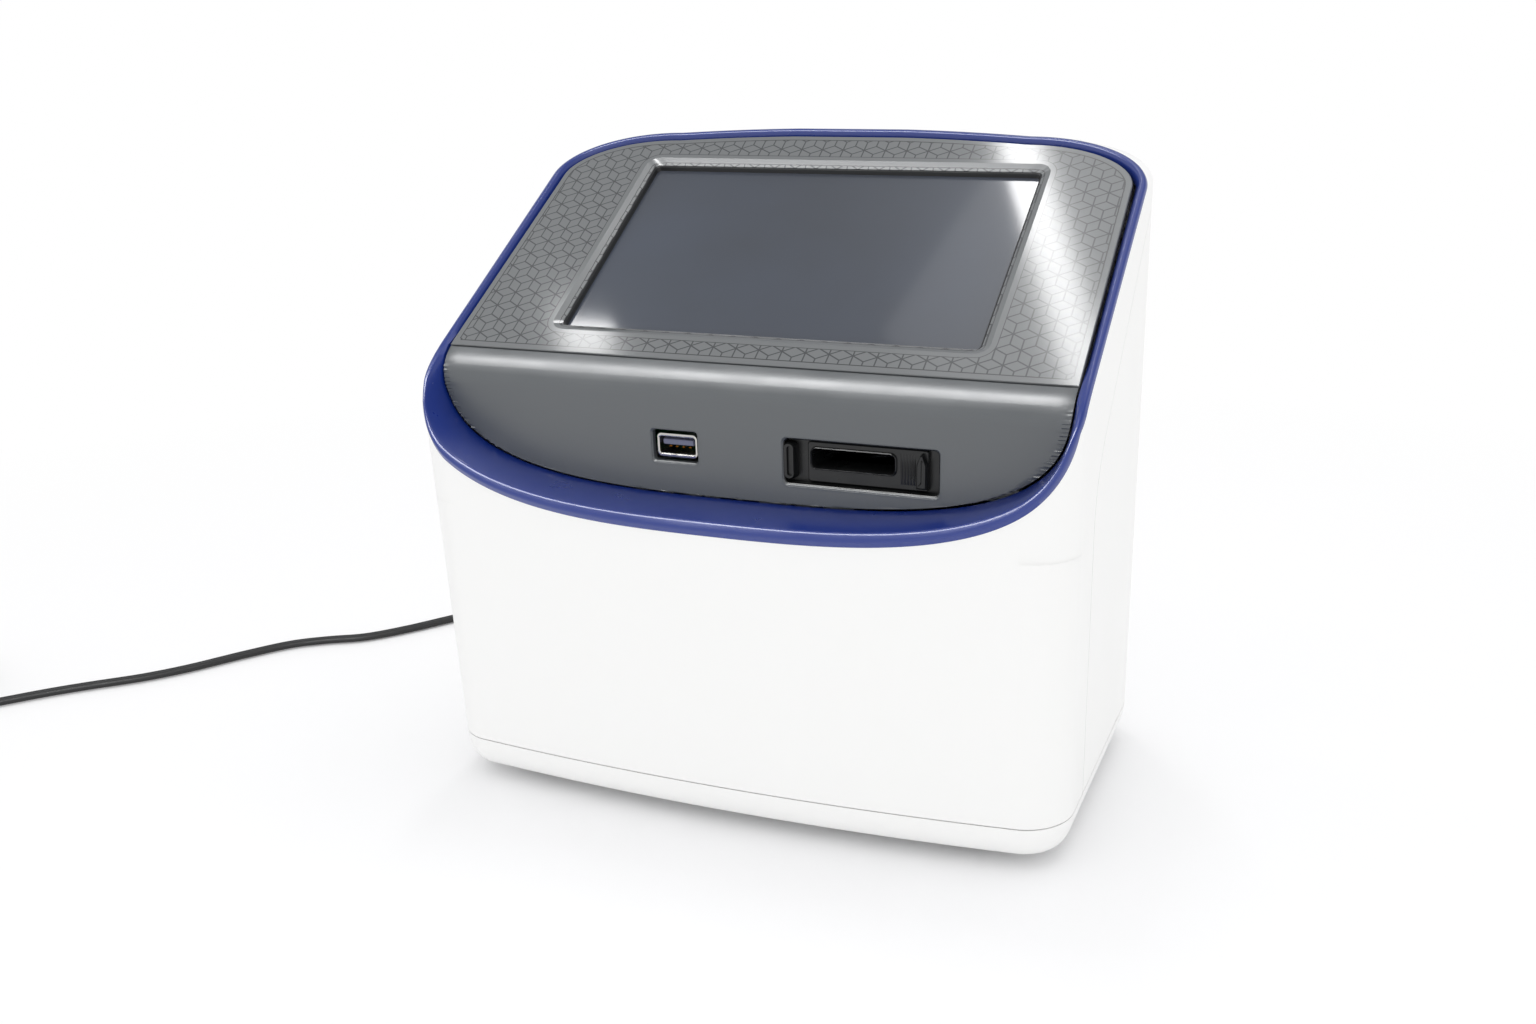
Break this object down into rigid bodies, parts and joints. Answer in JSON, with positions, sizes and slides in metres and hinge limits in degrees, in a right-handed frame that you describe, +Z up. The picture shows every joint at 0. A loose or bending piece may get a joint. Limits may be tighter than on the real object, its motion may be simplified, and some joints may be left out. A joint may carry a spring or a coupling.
{
  "type": "automated cell counter",
  "caption": "benchtop automated cell counter with a sloped touchscreen face, an upright fascia with slide port and USB socket, and an inverted fluorescence optical column inside",
  "frame": {"origin": "on the table under the middle of the housing's box", "axes": "+X to the user's right, +Y to the rear panel, +Z up"},
  "size_m": [0.5834, 0.2874, 0.221],
  "materials": {
    "white_moulding": "fine satin moulded ABS",
    "blue_moulding": "semi-gloss moulded ABS",
    "overlay_gloss": "gloss clear-coated panel, back printed with a fine line pattern",
    "fascia_satin": "satin painted moulding",
    "screen_glass": "dark cover glass bonded over a switched-off display",
    "sheet_steel": "zinc-plated sheet",
    "plated_steel": "nickel plate",
    "screw_steel": "plated screws",
    "shaft_steel": "ground shafts",
    "machined_aluminium": "clear anodised",
    "black_anodised": "black anodised",
    "black_moulding": "black moulded plastic",
    "circuit_board": "green solder mask on glass-filled epoxy",
    "spacer_brass": "turned brass",
    "contact_brass": "plated contacts",
    "foot_rubber": "soft pad",
    "cord_rubber": "flexible PVC"
  },
  "bodies": {
    "housing": {"front_housing": "white_moulding", "rear_housing": "white_moulding", "base_pan": "white_moulding", "feet": "foot_rubber", "base_screws": "screw_steel", "rim": "blue_moulding", "overlay": "overlay_gloss", "touch_glass": "screen_glass", "display_module": "sheet_steel", "display_carrier": "sheet_steel", "lower_fascia": "fascia_satin", "usb_shell": "plated_steel", "usb_tongue": "black_moulding", "usb_board": "circuit_board", "slide_port": "black_moulding", "slide_guides": "black_moulding", "chassis": "sheet_steel", "optics_frame": "machined_aluminium", "slide_stage": "black_anodised", "lamp_arm": "machined_aluminium", "lamp": "black_anodised", "camera": "black_anodised", "cube_rails": "shaft_steel", "focus_rail": "shaft_steel", "focus_motor": "black_anodised", "main_board": "circuit_board", "board_spacers": "spacer_brass", "heat_sink": "black_anodised", "power_supply": "sheet_steel", "switch_frame": "black_moulding", "power_inlet": "black_moulding", "inlet_pins": "contact_brass", "cord_connector": "cord_rubber", "strain_relief": "cord_rubber", "cord": "cord_rubber", "cord_coil": "cord_rubber", "cord_tie": "black_moulding", "mains_plug": "cord_rubber", "plug_blades": "contact_brass"},
    "door": {"cube_door": "white_moulding"},
    "switch": {"rocker": "black_moulding"},
    "changer": {"cube_carriage": "machined_aluminium", "light_cube_a": "black_anodised", "light_cube_b": "black_anodised"},
    "focus": {"focus_carriage": "machined_aluminium", "objective": "plated_steel", "actuator_shaft": "shaft_steel"}
  },
  "joints": [
    {"name": "door_hinge", "type": "hinge", "parent": "housing", "child": "door", "pos_m": [0.04, 0.0685, 0.0485], "axis": [-1, 0, 0], "range_deg": [0, 90]},
    {"name": "switch_rock", "type": "hinge", "parent": "housing", "child": "switch", "pos_m": [-0.042, 0.066, 0.04], "axis": [1, 0, 0], "range_deg": [-16, 0]},
    {"name": "changer_slide", "type": "slide", "parent": "housing", "child": "changer", "axis": [1, 0, 0], "range_m": [-0.03, 0]},
    {"name": "focus_slide", "type": "slide", "parent": "housing", "child": "focus", "axis": [0, 0, 1], "range_m": [-0.0025, 0.0025]}
  ]
}
